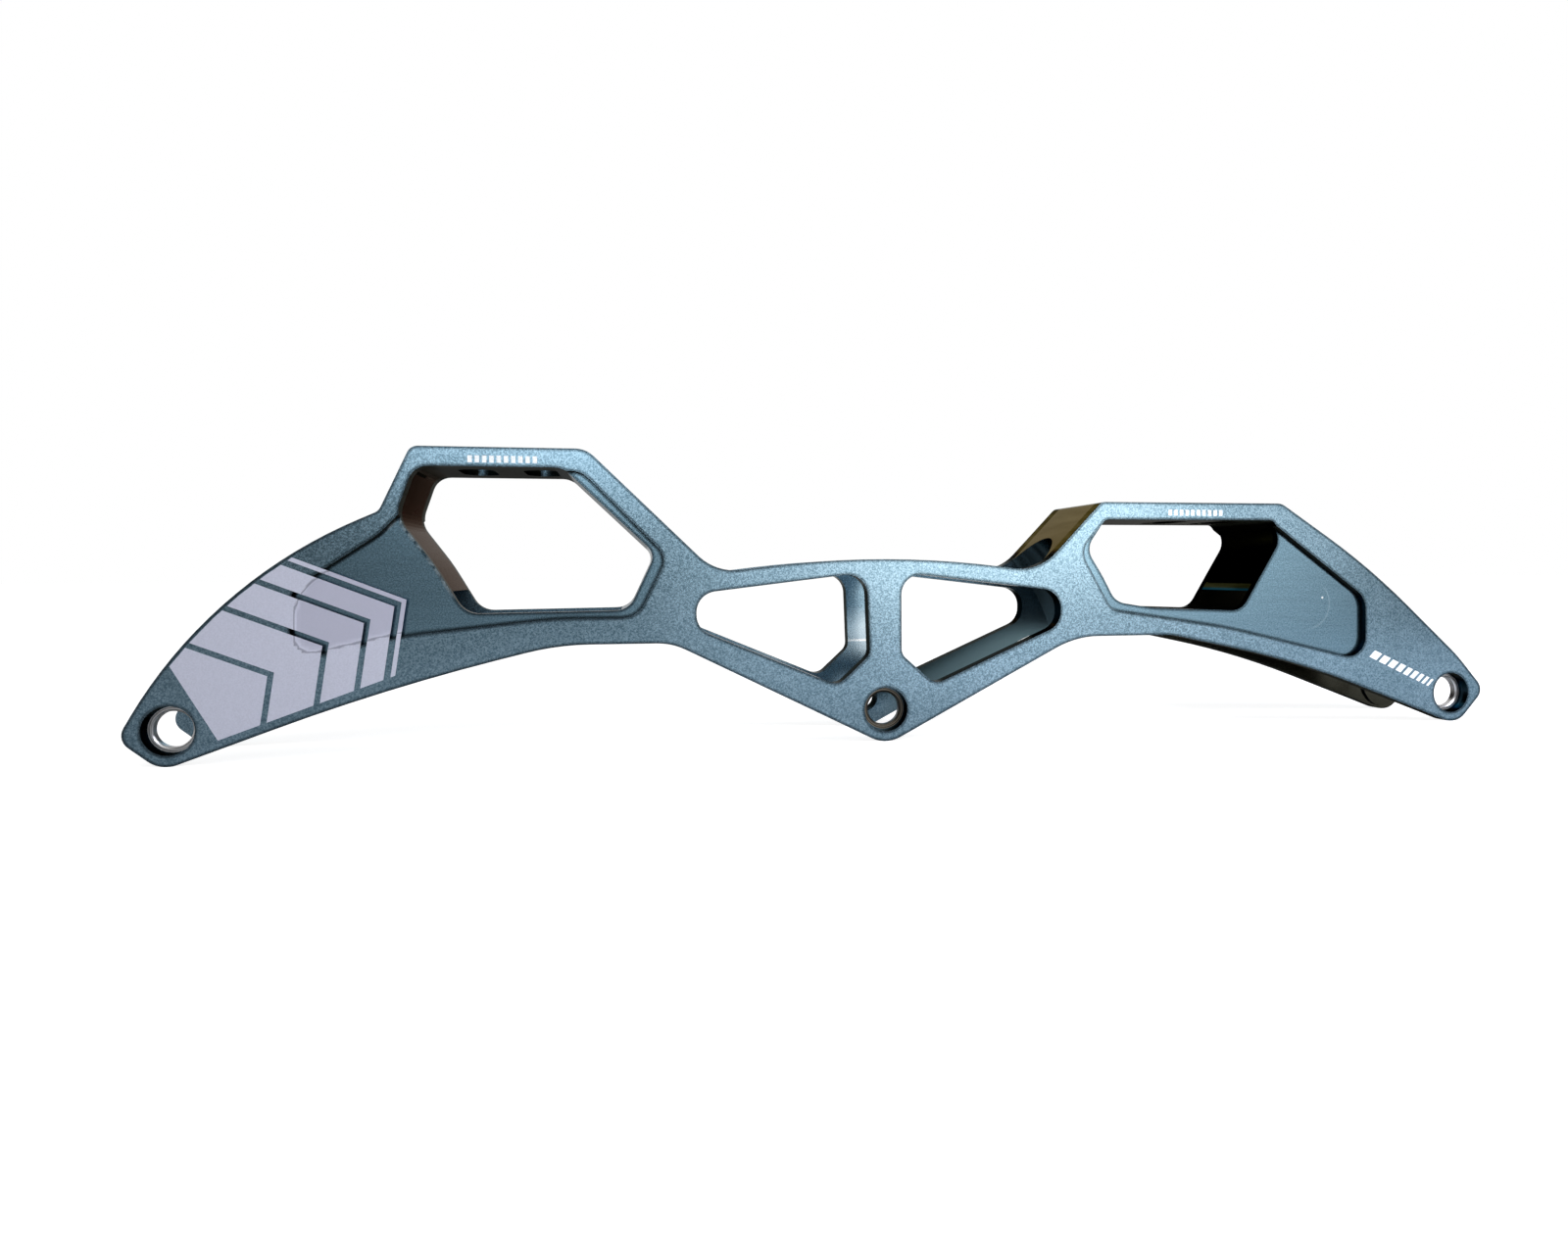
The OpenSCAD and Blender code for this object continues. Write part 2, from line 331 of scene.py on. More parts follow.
def painted_corner_lines(tree, place, apart, on, normal):
    """How far each point belongs to a corner's dark line, and the line's colour."""
    # The corners are broken by about 0.3 mm, and the dark reflection that they catch is painted as
    # a dark line. The lines are drawn about 1 mm wide, so that they show.
    rounded = put(tree, "ShaderNodeBevel", {"Radius": 1.4 * MM}, samples=6)
    turned = put(tree, "ShaderNodeVectorMath", {0: rounded, 1: normal}, operation="DOT_PRODUCT")
    near_edge = put(
        tree, "ShaderNodeMapRange", {"Value": turned, "From Min": 0.99, "From Max": 0.965},
        interpolation_type="SMOOTHSTEP",
    )
    # The decks and webs run into the walls without a corner, so lines are drawn on walls only.
    on_wall = put(
        tree, "ShaderNodeMapRange",
        {"Value": on["across"], "From Min": INNER_Y + 0.9, "From Max": INNER_Y + 1.6},
    )
    strength = put(
        tree, "ShaderNodeMapRange", {"Value": on["flat_side"], "To Min": 0.35, "To Max": 0.92}
    )
    line = near_edge
    for part in (on_wall, strength):
        line = put(tree, "ShaderNodeMath", {0: line, 1: part}, operation="MULTIPLY")

    # The heel pocket's thin edge at the window is pale in places about 2 mm long.
    past_start = put(
        tree, "ShaderNodeMapRange", {"Value": apart["X"], "From Min": -118.0, "From Max": -116.0}
    )
    before_end = put(
        tree, "ShaderNodeMapRange", {"Value": apart["X"], "From Min": -92.0, "From Max": -95.0}
    )
    above_rim = put(
        tree, "ShaderNodeMapRange", {"Value": apart["Z"], "From Min": 28.0, "From Max": 30.0}
    )
    rubs = put(tree, "ShaderNodeTexNoise", {"Vector": place, "Scale": 1 / 1.6, "Detail": 3.0})
    rub_share = put(
        tree, "ShaderNodeMapRange", {"Value": rubs, "From Min": 0.42, "From Max": 0.55}
    )
    pale_patches = past_start
    for part in (before_end, above_rim, on["pocket_floor"], rub_share):
        pale_patches = put(tree, "ShaderNodeMath", {0: pale_patches, 1: part}, operation="MULTIPLY")
    # The dark line's colour is a painted dark reflection.
    edge = put(
        tree, "ShaderNodeMix", {"Factor": pale_patches, "A": colour("#121b20"), "B": colour("#a3b0b6")},
        data_type="RGBA",
    )
    return line, edge


def tool_arc(tree, place, pocket_floor, arc):
    """How far each point belongs to the faint arc that the cutter left where it turned."""
    x, z, radius, angle_from, angle_to, strength = arc
    spoke = put(
        tree, "ShaderNodeVectorMath", {0: place, 1: (x, -POCKET_Y, z)}, operation="SUBTRACT"
    )
    reach = put(tree, "ShaderNodeVectorMath", {0: spoke}, operation="LENGTH")
    parts = put(tree, "ShaderNodeSeparateXYZ", {"Vector": spoke}).outputs
    angle = put(tree, "ShaderNodeMath", {0: parts["Z"], 1: parts["X"]}, operation="ARCTAN2")
    # The arc fades in and out over 0.4 radians.
    faded_in = put(
        tree, "ShaderNodeMapRange",
        {"Value": angle, "From Min": angle_from, "From Max": angle_from + 0.4},
    )
    not_faded_out = put(
        tree, "ShaderNodeMapRange",
        {"Value": angle, "From Min": angle_to, "From Max": angle_to - 0.4},
    )
    past = put(tree, "ShaderNodeMath", {0: reach, 1: radius}, operation="SUBTRACT")
    off = put(tree, "ShaderNodeMath", {0: past}, operation="ABSOLUTE")
    thin = put(tree, "ShaderNodeMapRange", {"Value": off, "From Min": 0.3, "From Max": 0.05})
    share = faded_in
    for part in (not_faded_out, thin, pocket_floor, strength):
        share = put(tree, "ShaderNodeMath", {0: share, 1: part}, operation="MULTIPLY")
    return share


def bright_speck(tree, place, flat_side, speck):
    """How far each point belongs to a tiny bright speck."""
    x, z, size = speck
    flat_place = put(
        tree, "ShaderNodeVectorMath", {0: place, 1: (1.0, 0.0, 1.0)}, operation="MULTIPLY"
    )
    away = put(
        tree, "ShaderNodeVectorMath", {0: flat_place, 1: (x, 0.0, z)}, operation="DISTANCE"
    )
    near = put(
        tree, "ShaderNodeMapRange", {"Value": away, "From Min": size, "From Max": size * 0.6}
    )
    return put(tree, "ShaderNodeMath", {0: near, 1: flat_side}, operation="MULTIPLY")


def anodised_aluminium(name, axis, tones, edge_tint, bright_specks=(), tool_arcs=()):
    """Satin anodised aluminium: a blue-grey dyed metal, dull because it was bead-blasted.

    The outer skins have the blasting's grain. The pocket floors and the cut faces were milled, so
    they are smoother and darker, and the cut faces' colours are painted shade and reflection. The
    tones are those colours at places along one axis.
    The edge tint keeps cut faces dark where they are seen almost edge on. A bright speck is its X
    and Z and its size. A tool arc is its middle's X and Z, its radius, the angles in radians where
    it starts and ends, and its strength.
    """
    material, tree, place = new_material(name)
    apart = put(tree, "ShaderNodeSeparateXYZ", {"Vector": place}).outputs
    normal = put(tree, "ShaderNodeNewGeometry").outputs["True Normal"]
    on = kinds_of_surface(tree, apart, normal)
    grit, grit_share, blasted = blasted_grain(tree, place)
    cutter_lines, milled = milled_floor(tree, place, grit_share)
    line, edge = painted_corner_lines(tree, place, apart, on, normal)
    layers = [
        (on["pocket_floor"], milled),
        (on["inner_side"], between_walls(tree, apart, blasted)),
        (on["skin"], blasted),
        (line, edge),
    ]
    for arc in tool_arcs:
        layers.append((tool_arc(tree, place, on["pocket_floor"], arc), colour("#b9cdd8")))
    # Bright specks, one of them a painted glint.
    for speck in bright_specks:
        layers.append((bright_speck(tree, place, on["flat_side"], speck), colour("#f4f6f7")))
    body = cut_faces(tree, place, apart, on, axis, tones)
    for share, tone in layers:
        body = put(
            tree, "ShaderNodeMix", {"Factor": share, "A": body, "B": tone}, data_type="RGBA"
        )

    # The grain stands out by about 0.01 mm, and the cutter's lines by a third of that.
    grit_height = put(tree, "ShaderNodeMath", {0: grit, 1: on["skin"]}, operation="MULTIPLY")
    line_height = put(
        tree, "ShaderNodeMath", {0: cutter_lines, 1: on["pocket_floor"]}, operation="MULTIPLY"
    )
    height = put(
        tree, "ShaderNodeMath", {0: line_height, 1: 0.3, 2: grit_height}, operation="MULTIPLY_ADD"
    )
    bump = put(
        tree, "ShaderNodeBump", {"Strength": 0.25, "Distance": 0.012 * MM, "Height": height}
    )
    dullness = put(tree, "ShaderNodeMath", {0: grit, 1: 0.06, 2: 0.17}, operation="MULTIPLY_ADD")
    # The undersides barely shine, so that they stay as dark as their painted shade.
    dim_underside = put(
        tree, "ShaderNodeMath", {0: on["underside"], 1: on["well"]}, operation="SUBTRACT",
        use_clamp=True,
    )
    shine = put(tree, "ShaderNodeMapRange", {"Value": dim_underside, "To Min": 1.0, "To Max": 0.1})
    shader = put(
        tree, "ShaderNodeBsdfPrincipled",
        {
            "Base Color": body,
            "Metallic": shine,
            "Roughness": dullness,
            "Specular Tint": colour(edge_tint),
            "Specular IOR Level": 0.0,
            "Normal": bump,
        },
    )
    put(tree, "ShaderNodeOutputMaterial", {"Surface": shader})
    return material


# The other materials


def turned_aluminium(name, dark_turn, pale_turn):
    """Bare turned aluminium: bright, with fine rings left by the lathe round each axle."""
    material, tree, place = new_material(name)
    apart = put(tree, "ShaderNodeSeparateXYZ", {"Vector": place}).outputs
    outward = from_nearest_axle(tree, apart)
    radius = put(tree, "ShaderNodeVectorMath", {0: outward}, operation="LENGTH")
    # The lathe fed about 0.2 mm a turn. The rings are drawn 0.45 mm apart so that they show.
    turns = put(tree, "ShaderNodeMath", {0: radius, 1: 2 * math.pi / 0.45}, operation="MULTIPLY")
    rings = put(tree, "ShaderNodeMath", {0: turns}, operation="SINE")
    ring_share = put(
        tree, "ShaderNodeMapRange", {"Value": rings, "From Min": -1.0, "From Max": 1.0}
    )
    bright = put(
        tree, "ShaderNodeMix",
        {"Factor": ring_share, "A": colour(dark_turn), "B": colour(pale_turn)}, data_type="RGBA",
    )
    # Handling left smears of about 2 mm.
    smears = put(tree, "ShaderNodeTexNoise", {"Vector": place, "Scale": 1 / 2.0, "Detail": 2.0})
    dullness = put(tree, "ShaderNodeMath", {0: smears, 1: 0.2, 2: 0.22}, operation="MULTIPLY_ADD")
    bump = put(
        tree, "ShaderNodeBump", {"Strength": 0.3, "Distance": 0.02 * MM, "Height": rings}
    )
    shader = put(
        tree, "ShaderNodeBsdfPrincipled",
        {"Base Color": bright, "Metallic": 1.0, "Roughness": dullness, "Normal": bump},
    )
    put(tree, "ShaderNodeOutputMaterial", {"Surface": shader})
    return material


def vinyl_film():
    """Cast vinyl film, printed lilac grey: flat, satin, and a little darker over a hollow."""
    material, tree, place = new_material("lilac_vinyl_film")
    apart = put(tree, "ShaderNodeSeparateXYZ", {"Vector": place}).outputs
    # Casting leaves a soft unevenness of 2 to 3 mm, and the print a dot of about 0.3 mm.
    uneven = put(tree, "ShaderNodeTexNoise", {"Vector": place, "Scale": 1 / 2.6, "Detail": 2.0})
    dots = put(tree, "ShaderNodeTexNoise", {"Vector": place, "Scale": 1 / 0.3, "Detail": 1.0})
    dot_share = put(
        tree, "ShaderNodeMapRange", {"Value": dots, "From Min": 0.3, "From Max": 0.7}
    )
    film_tone = put(
        tree, "ShaderNodeMix",
        {"Factor": dot_share, "A": colour("#b5b7c6"), "B": colour("#bfc1d0")}, data_type="RGBA",
    )
    depth = put(
        tree, "ShaderNodeMapRange",
        {"Value": apart["Y"], "From Min": -OUTER_Y + 0.02, "From Max": -OUTER_Y + 0.2},
    )
    unbacked = put(tree, "ShaderNodeMath", {0: depth, 1: 0.75}, operation="MULTIPLY")
    # The film bends where it dips over the pocket's rim, and the shade along the bend is painted as
    # a thin grey line.
    going_down = put(
        tree, "ShaderNodeMapRange",
        {"Value": apart["Y"], "From Min": -OUTER_Y - 0.045, "From Max": -OUTER_Y - 0.02},
    )
    not_yet_level = put(
        tree, "ShaderNodeMapRange",
        {"Value": apart["Y"], "From Min": -OUTER_Y + 0.08, "From Max": -OUTER_Y + 0.03},
    )
    painted_bend_shade = going_down
    for part in (not_yet_level, 0.8):
        painted_bend_shade = put(tree, "ShaderNodeMath", {0: painted_bend_shade, 1: part}, operation="MULTIPLY")
    for share, text in ((unbacked, "#a5a5b6"), (painted_bend_shade, "#777885")):
        film_tone = put(
            tree, "ShaderNodeMix", {"Factor": share, "A": film_tone, "B": colour(text)},
            data_type="RGBA",
        )
    bump = put(
        tree, "ShaderNodeBump", {"Strength": 0.3, "Distance": 0.03 * MM, "Height": uneven}
    )
    dullness = put(tree, "ShaderNodeMath", {0: dots, 1: 0.1, 2: 0.45}, operation="MULTIPLY_ADD")
    shader = put(
        tree, "ShaderNodeBsdfPrincipled",
        {"Base Color": film_tone, "Roughness": dullness, "Normal": bump},
    )
    put(tree, "ShaderNodeOutputMaterial", {"Surface": shader})
    return material


def laser_white():
    """Laser marking: the beam bleaches the dyed oxide to an uneven, chalky white."""
    material, tree, place = new_material("laser_bleached_oxide")
    # The beam's spots are 0.05 mm. Their unevenness is drawn at 0.4 mm so that it shows.
    spots = put(tree, "ShaderNodeTexNoise", {"Vector": place, "Scale": 1 / 0.4, "Detail": 2.0})
    spot_share = put(
        tree, "ShaderNodeMapRange", {"Value": spots, "From Min": 0.3, "From Max": 0.6}
    )
    chalk = put(
        tree, "ShaderNodeMix",
        {"Factor": spot_share, "A": colour("#e0e8ec"), "B": colour("#ffffff")}, data_type="RGBA",
    )
    bump = put(
        tree, "ShaderNodeBump", {"Strength": 0.4, "Distance": 0.02 * MM, "Height": spots}
    )
    shader = put(
        tree, "ShaderNodeBsdfPrincipled",
        {"Base Color": chalk, "Roughness": 0.7, "Normal": bump},
    )
    put(tree, "ShaderNodeOutputMaterial", {"Surface": shader})
    return material


# New pieces, laid out in millimetres on the near wall's outer skin

# Points closer than this are one point, and lines closer than this are one line.
WELD = 0.002
TINY = 1e-12


def cut_by_line(shape, line):
    """The part of a convex shape on the left of a line, given as a point and a direction."""
    (px, pz), (dx, dz) = line
    sides = [dx * (z - pz) - dz * (x - px) for x, z in shape]
    kept = []
    for i, here in enumerate(shape):
        j = (i + 1) % len(shape)
        if sides[i] >= 0:
            kept.append(here)
        if (sides[i] > 0) != (sides[j] > 0) and abs(sides[i] - sides[j]) > TINY:
            t = sides[i] / (sides[i] - sides[j])
            x = here[0] + t * (shape[j][0] - here[0])
            z = here[1] + t * (shape[j][1] - here[1])
            kept.append((x, z))
    return kept


def turned_round(line):
    """The same line in the other direction, which keeps the other side."""
    point, (dx, dz) = line
    return (point, (-dx, -dz))


def piece_from(name, polygons, depth_of, thickness, material):
    """One thin piece in X and Z, made of many small faces that share their corners."""
    mesh = bmesh.new()
    for shape in polygons:
        corners = [mesh.verts.new((x * MM, depth_of(x, z) * MM, z * MM)) for x, z in shape]
        mesh.faces.new(corners)
    bmesh.ops.remove_doubles(mesh, verts=mesh.verts, dist=WELD * MM)
    bmesh.ops.dissolve_degenerate(mesh, edges=mesh.edges, dist=WELD * MM)
    bmesh.ops.recalc_face_normals(mesh, faces=mesh.faces)
    if sum(face.normal.y for face in mesh.faces) > 0:
        bmesh.ops.reverse_faces(mesh, faces=mesh.faces)
    data = bpy.data.meshes.new(name)
    mesh.to_mesh(data)
    mesh.free()
    piece = bpy.data.objects.new(name, data)
    bpy.context.scene.collection.objects.link(piece)
    solid = piece.modifiers.new("thickness", "SOLIDIFY")
    solid.thickness = thickness * MM
    solid.offset = -1.0
    piece.data.materials.append(material)
    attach(piece, "root")


# The tail's upper edge is an arc about this point, and its lower edge a straight line.
TAIL_ARC = (-79.5, -44.5)
TAIL_ARC_R = 100.0
TAIL_ARC_DEGREES = range(114, 156, 4)
TAIL_LOW_POINT = (-161.3, -8.65)
TAIL_LOW_HEADING = (0.939, 0.345)
# The tail's own axis leans up towards the heel deck.
TAIL_AXIS = math.radians(30.0)
# How far the film stays inside the tail's upper and lower edges
FILM_MARGIN = 0.8
FILM_LOW_MARGIN = 2.0
FILM_THICKNESS = 0.05
# The rectangle of small squares that the film is cut from: lowest X, highest X, lowest Z, highest Z
FILM_STOCK = (-170.0, -104.0, -10.0, 50.0)
FILM_SQUARE = 0.8
# The three sides of the pocket's end that the film spans, and how it dips in there
POCKET_END = [
    ((-135.5, 20.0), (0.0, -1.0)),
    ((-135.5, 30.4), (-0.826, -0.564)),
    ((-135.5, 14.6), (0.975, 0.224)),
]
POCKET_ROUNDING = 5.0
SAG = 0.3
SAG_STARTS = 0.6
SAG_RUN = 1.2


def film_area():
    """The lines that keep the film on the tail, clear of its edges."""
    lines = []
    for degrees in TAIL_ARC_DEGREES:
        angle = math.radians(degrees)
        reach = TAIL_ARC_R - FILM_MARGIN
        point = (TAIL_ARC[0] + reach * math.cos(angle), TAIL_ARC[1] + reach * math.sin(angle))
        lines.append((point, (-math.sin(angle), math.cos(angle))))
    dx, dz = TAIL_LOW_HEADING
    x, z = TAIL_LOW_POINT
    lines.append(((x - dz * FILM_LOW_MARGIN, z + dx * FILM_LOW_MARGIN), TAIL_LOW_HEADING))
    return lines


def sunk_film(x, z):
    """The film's depth: it spans the pocket's end and sags into it a little."""
    inside = [dx * (z - pz) - dz * (x - px) - SAG_STARTS for (px, pz), (dx, dz) in POCKET_END]
    from_rounding = math.hypot(*(max(0.0, POCKET_ROUNDING - d) for d in inside))
    share = min(1.0, max(0.0, (POCKET_ROUNDING - from_rounding) / SAG_RUN))
    return -(OUTER_Y + FILM_THICKNESS) + SAG * share * share * (3 - 2 * share)


def small_squares(low_x, high_x, low_z, high_z, step):
    """The corners of each small square in a rectangle, column by column."""
    for i in range(math.ceil((high_x - low_x) / step)):
        for j in range(math.ceil((high_z - low_z) / step)):
            x, z = low_x + i * step, low_z + j * step
            yield [(x, z), (x + step, z), (x + step, z + step), (x, z + step)]


def film_piece(name, lines, material):
    """A part of the film between the lines, in small squares so that it can follow the sag."""
    borders = lines + film_area()
    shapes = []
    for shape in small_squares(*FILM_STOCK, FILM_SQUARE):
        for border in borders:
            shape = cut_by_line(shape, border)
            if len(shape) < 3:
                break
        else:
            shapes.append(shape)
    piece_from(name, shapes, sunk_film, FILM_THICKNESS, material)


def across_tail(distance, degrees):
    """A line through the tail's axis, a distance from the end axle, turned from that axis."""
    angle = TAIL_AXIS + math.radians(degrees)
    x = -AXLE_PITCH + distance * math.cos(TAIL_AXIS)
    z = distance * math.sin(TAIL_AXIS)
    return ((x, z), (math.cos(angle), math.sin(angle)))


# A laser mark is 0.012 mm thick. Its face is drawn 0.015 mm proud, so that the skin can't hide it.
MARK_THICKNESS = 0.012
MARK_PROUD = 0.015
BLOCK_SHARE = 0.6
BAR_GAP = 0.8
BAR_LEAN = 0.9
# The last bar is narrower than the first by this share.
BAR_NARROWING = 0.72


def on_outer_skin(x, z):
    """A mark's depth, which is the same everywhere."""
    return -(OUTER_Y + MARK_PROUD)


def block_row(name, start, end, count, height, material):
    """A row of plain upright blocks between two points, with gaps two thirds as wide."""
    pitches = count - (1 - BLOCK_SHARE)
    pitch, rise = (end[0] - start[0]) / pitches, (end[1] - start[1]) / pitches
    wide = BLOCK_SHARE * pitch
    shapes = []
    for k in range(count):
        x, z = start[0] + k * pitch, start[1] + k * rise
        shapes.append([(x, z), (x + wide, z), (x + wide, z + height), (x, z + height)])
    piece_from(name, shapes, on_outer_skin, MARK_THICKNESS, material)


def slanted_bars(name, start, end, count, height, material):
    """A row of plain slanted bars between two points, each narrower than the last."""
    run = (end[0] - start[0], end[1] - start[1])
    length = math.hypot(*run)
    ux, uz = run[0] / length, run[1] / length
    widths = [1.0 - BAR_NARROWING * k / (count - 1) for k in range(count)]
    scale = (length - BAR_GAP * (count - 1) - BAR_LEAN) / sum(widths)
    shapes, along = [], 0.0
    for width in widths:
        far = along + width * scale
        corners = [(along, 0.0), (far, 0.0), (far + BAR_LEAN, height), (along + BAR_LEAN, height)]
        shapes.append(
            [(start[0] + a * ux - b * uz, start[1] + a * uz + b * ux) for a, b in corners]
        )
        along = far + BAR_GAP
    piece_from(name, shapes, on_outer_skin, MARK_THICKNESS, material)


# Dressing the frame

# The walls' cut edges, in tones that paint reflection and shade: a painted brown reflection in
# the heel window, painted near-black shade in the toe window, and blue-grey elsewhere. They are
# palest, a painted highlight, at the toe mount's slant, where the edge tint takes the most away.
wall_painted_tones = [
    (-125.0, "#34444c"), (-112.0, "#53463a"), (-60.0, "#4b4237"), (-50.0, "#2a363a"),
    (30.0, "#2c3f49"), (43.0, "#33291f"), (46.5, "#9e9078"), (58.0, "#9e9078"),
    (64.0, "#191a18"), (106.0, "#121312"), (125.0, "#2e3f49"),
]
wall_metal = anodised_aluminium(
    "blasted_anodised_aluminium", "X", wall_painted_tones, "#6f7370",
    # The second bright speck, on the toe pocket, is a painted glint.
    bright_specks=[(-68.5, 50.4, 0.3), (121.7, 26.6, 0.35)],
    tool_arcs=[(-107.8, 32.0, 4.6, -0.3, 1.5, 0.4), (117.0, 25.0, 6.8, -1.5, 0.9, 0.22)],
)
# The heel deck's cut faces and edge tint are painted dark olive, for the shade under the deck.
heel_deck_metal = anodised_aluminium(
    "milled_anodised_heel_deck", "Z", [(57.0, "#262720"), (60.0, "#3a3b30")], "#2c2c24"
)
# The toe deck's cut faces go from a painted brown reflection to painted near-black shade towards
# the toe window.
toe_deck_metal = anodised_aluminium(
    "milled_anodised_toe_deck", "X", [(58.0, "#6c6552"), (72.0, "#20201a")], "#b8b0a0"
)
# The heel rear web's cut faces and edge tint are a painted brown reflection, darker at the bottom
# edge and towards the top as painted shade.
heel_rear_painted_tones = [(29.0, "#3a4347"), (31.0, "#6b5a49"), (48.0, "#5d4e3f"), (58.0, "#35342a")]
heel_rear_metal = anodised_aluminium(
    "milled_anodised_heel_web", "Z", heel_rear_painted_tones, "#614c38"
)
heel_front_metal = anodised_aluminium(
    "milled_anodised_front_heel_web", "Z", [(30.0, "#3c4c54"), (55.0, "#4c5e68")], "#8a959b"
)
# The toe rear web's cut faces are a painted brown reflection, with painted dark shade towards the
# bottom.
toe_rear_painted_tones = [(32.0, "#262d2f"), (40.0, "#5d5646"), (52.0, "#6a6250")]
toe_rear_metal = anodised_aluminium(
    "milled_anodised_rear_toe_web", "Z", toe_rear_painted_tones, "#b8b0a0"
)
# A thin painted highlight bar lies 29.9 mm above the axles, at the web's lower end, and above it
# the web is painted near-black and dark olive for the shade in the toe window.
toe_front_painted_tones = [
    (28.8, "#46606c"), (29.5, "#55554c"), (30.3, "#55554c"), (30.8, "#141512"), (47.0, "#2c2c22")
]
toe_front_metal = anodised_aluminium(
    "milled_anodised_front_toe_web", "Z", toe_front_painted_tones, "#6a6a62"
)
seat_metal = turned_aluminium("turned_bare_aluminium", "#a9a7a6", "#e2e2e2")
# The centre seat is painted dark, for the shade and dark reflection in its recess.
shaded_seat_metal = turned_aluminium("turned_aluminium_painted_dark_for_shade", "#3f3b33", "#6b665d")
dress = {
    "near_side_wall": wall_metal,
    "far_side_wall": wall_metal,
    "heel_deck": heel_deck_metal,
    "toe_deck": toe_deck_metal,
    "heel_rear_web": heel_rear_metal,
    "heel_front_web": heel_front_metal,
    "toe_rear_web": toe_rear_metal,
    "toe_front_web": toe_front_metal,
    "heel_axle_seat": seat_metal,
    "centre_axle_seat": shaded_seat_metal,
    "toe_axle_seat": seat_metal,
}
for node_name, metal in dress.items():
    slots = nodes[node_name].data.materials
    slots.clear()
    slots.append(metal)

# The film: a solid field next to the end axle, then chevrons that thin out towards the heel deck.
# A band keeps what lies past its first line and before its second, on one side of the tail's axis.
film = vinyl_film()
# The chevrons' arms lean this many degrees from the tail's axis.
SWEEP = 52.0
UPPER_HALF = across_tail(0.0, 0.0)
LOWER_HALF = across_tail(0.0, 180.0)
# The field starts square across the tail, this far from the end axle.
FIELD_START = 7.4
# Each band: name, and how far from the end axle its first and its second line cross the tail's axis
film_bands = [
    ("film_field", None, 23.0),
    ("film_chevron_wide", 24.6, 36.0),
    ("film_chevron_middle", 37.6, 46.0),
    ("film_chevron_narrow", 47.6, 53.4),
    ("film_chevron_thin", 55.2, 56.4),
]
for band_name, band_start, band_end in film_bands:
    upper = [UPPER_HALF, across_tail(band_end, 180.0 - SWEEP)]
    lower = [LOWER_HALF, turned_round(across_tail(band_end, 180.0 + SWEEP))]
    if band_start is None:
        upper.append(across_tail(FIELD_START, -90.0))
        lower.append(across_tail(FIELD_START, -90.0))
    else:
        upper.append(turned_round(across_tail(band_start, 180.0 - SWEEP)))
        lower.append(across_tail(band_start, 180.0 + SWEEP))
    film_piece(band_name + "_upper", upper, film)
    film_piece(band_name + "_lower", lower, film)

bleached = laser_white()
block_row(
    "laser_blocks_heel", (-97.9, 59.6), (-82.6, 59.6), count=10, height=1.6, material=bleached
)
block_row(
    "laser_blocks_toe", (75.7, 48.5), (91.1, 48.5), count=10, height=1.5, material=bleached
)
slanted_bars(
    "laser_bars_toe", (134.6, 10.4), (153.6, 1.6), count=9, height=2.3, material=bleached
)


# Floor and backdrop


def seen_as_white(tree, rays, behind):
    """1 for what the camera sees, directly or through glass, and for mirrored light from behind."""
    mirrored = put(
        tree, "ShaderNodeMath", {0: rays["Is Glossy Ray"], 1: behind}, operation="MULTIPLY"
    )
    direct = put(
        tree, "ShaderNodeMath", {0: rays["Is Camera Ray"], 1: rays["Is Transmission Ray"]},
        operation="MAXIMUM",
    )
    return put(tree, "ShaderNodeMath", {0: direct, 1: mirrored}, operation="MAXIMUM")


def paper_floor():
    """Matt white paper, lit up to white for the camera and in reflections, with a faint shadow."""
    material, tree, place = new_material("matt_white_paper")
    rays = put(tree, "ShaderNodeLightPath").outputs
    apart = put(tree, "ShaderNodeSeparateXYZ", {"Vector": place}).outputs
    behind = put(
        tree, "ShaderNodeMapRange", {"Value": apart["Y"], "From Min": 0.0, "From Max": 200.0}
    )
    seen = seen_as_white(tree, rays, behind)
    # Paper fibres lie in clumps of about 1 mm.
    fibre = put(tree, "ShaderNodeTexNoise", {"Vector": place, "Scale": 1.0, "Detail": 2.0})
    fibre_share = put(
        tree, "ShaderNodeMapRange", {"Value": fibre, "From Min": 0.3, "From Max": 0.7}
    )
    paper = put(
        tree, "ShaderNodeMix",
        {"Factor": fibre_share, "A": colour("#b8b8b8"), "B": colour("#c0c0c0")}, data_type="RGBA",
    )
    matt = put(tree, "ShaderNodeBsdfDiffuse", {"Color": paper})
    # The lamps' light fades with distance, so the paper's own white grows to meet the backdrop.
    distance = put(tree, "ShaderNodeVectorMath", {0: place}, operation="LENGTH")
    white = put(
        tree, "ShaderNodeMapRange",
        {"Value": distance, "From Min": 250.0, "From Max": 900.0, "To Min": 0.88, "To Max": 1.0},
    )
    glow = put(tree, "ShaderNodeEmission", {"Color": colour("#ffffff"), "Strength": white})
    lit = put(tree, "ShaderNodeAddShader", {0: matt, 1: glow})
    shown = put(tree, "ShaderNodeMixShader", {0: seen, 1: matt, 2: lit})
    put(tree, "ShaderNodeOutputMaterial", {"Surface": shown})
    return material


scene = bpy.context.scene
FLOOR_REACH = 6.0
floor_z = cad_low.z
floor_mesh = bpy.data.meshes.new("studio_floor")
floor_mesh.from_pydata(
    [
        (-FLOOR_REACH, -FLOOR_REACH, floor_z), (FLOOR_REACH, -FLOOR_REACH, floor_z),
        (FLOOR_REACH, FLOOR_REACH, floor_z), (-FLOOR_REACH, FLOOR_REACH, floor_z),
    ],
    [], [(0, 1, 2, 3)],
)
floor_mesh.materials.append(paper_floor())
ground = bpy.data.objects.new("studio_floor", floor_mesh)
scene.collection.objects.link(ground)

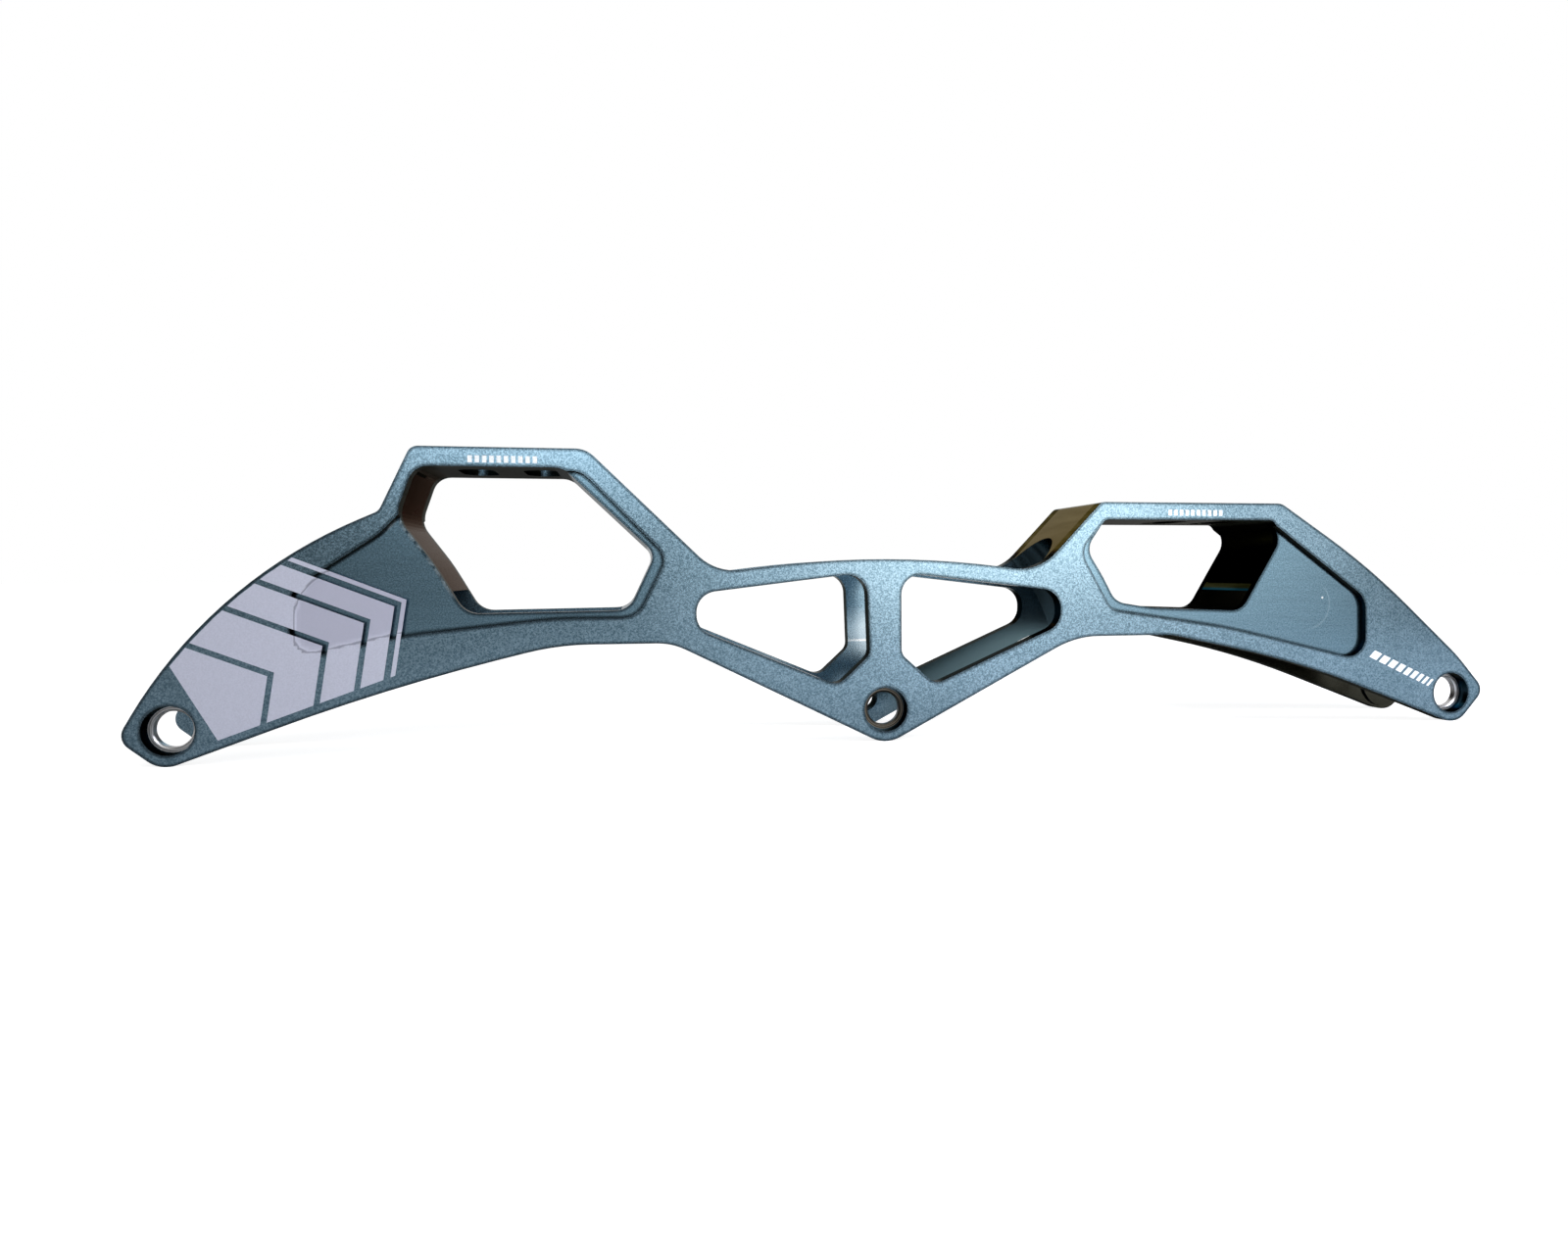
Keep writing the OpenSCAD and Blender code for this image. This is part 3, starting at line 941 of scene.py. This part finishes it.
# A mid-grey room lights the frame. The camera sees a white backdrop in its place, and so do
# reflections of what lies behind the frame.
world = bpy.data.worlds.new("studio")
scene.world = world
world.use_nodes = True
sky = world.node_tree
sky.nodes.clear()
direction = put(sky, "ShaderNodeTexCoord").outputs["Generated"]
heads = put(sky, "ShaderNodeSeparateXYZ", {"Vector": direction}).outputs
backwards = put(
    sky, "ShaderNodeMapRange", {"Value": heads["Y"], "From Min": -0.1, "From Max": 0.3},
    interpolation_type="SMOOTHSTEP",
)
room = put(sky, "ShaderNodeBackground", {"Color": colour("#707070"), "Strength": 1.0})
backdrop = put(sky, "ShaderNodeBackground", {"Color": colour("#ffffff"), "Strength": 1.0})
as_white = seen_as_white(sky, put(sky, "ShaderNodeLightPath").outputs, backwards)
room_or_backdrop = put(sky, "ShaderNodeMixShader", {0: as_white, 1: room, 2: backdrop})
put(sky, "ShaderNodeOutputWorld", {"Surface": room_or_backdrop})

# Camera and lamps

# The camera was fitted to the three axle holes and the outline.
camera_data = bpy.data.cameras.new("camera")
camera = bpy.data.objects.new("camera", camera_data)
scene.collection.objects.link(camera)
scene.camera = camera
camera.location = (-0.0605, -0.3, 0.034)
camera.rotation_euler = [math.radians(a) for a in (90.0, 0.24, -12.5)]
camera_data.sensor_width = 36.0
camera_data.lens = 26.816
camera_data.shift_x = -0.07012
camera_data.shift_y = -0.03503
camera_data.clip_start = 0.01
camera_data.clip_end = 50.0

# Each softbox: name, place in metres, the way it faces, width, height, roll in degrees, brightness
# and colour. The near skins mirror the three in front, and two light the floor before the toe.
SOFTBOXES = [
    ("wide_front", (0.464, -1.1, 0.235), (0.0, 1.0, 0.0), 0.86, 0.7, -6.0, 1.37, "#fbfbfc"),
    ("heel_front", (-0.136, -1.09, 0.366), (0.0, 1.0, 0.0), 0.45, 0.436, -7.0, 3.0, "#f6fbff"),
    ("toe_front", (0.39, -1.08, 0.11), (0.0, 1.0, 0.0), 0.4, 0.17, 8.0, 2.5, "#fff6ee"),
    ("toe_floor", (0.215, -0.22, 0.27), (0.0, 0.0, -1.0), 0.33, 0.25, 0.0, 7.6, "#eef3ff"),
    ("front_floor", (0.33, -0.86, 0.25), (0.0, 0.0, -1.0), 0.5, 0.4, 0.0, 1.3, "#eef3ff"),
    ("overhead", (-0.15, -0.6, 0.95), (0.1, 0.5, -0.86), 1.0, 0.6, 0.0, 2.2, "#ffffff"),
]
for name, place, towards, width, height, roll, brightness, tint in SOFTBOXES:
    light = bpy.data.lights.new(name, "AREA")
    light.shape, light.size, light.size_y = "RECTANGLE", width, height
    # With this power the softbox's own face has the brightness given, where 1 is white.
    light.energy = brightness * width * height * math.pi
    light.color = colour(tint)[:3]
    lamp = bpy.data.objects.new(name, light)
    scene.collection.objects.link(lamp)
    lamp.location = place
    lamp.rotation_euler = (-Vector(towards)).to_track_quat("Z", "Y").to_euler()
    lamp.rotation_euler.rotate_axis("Z", math.radians(roll))

scene.view_settings.view_transform = "Standard"
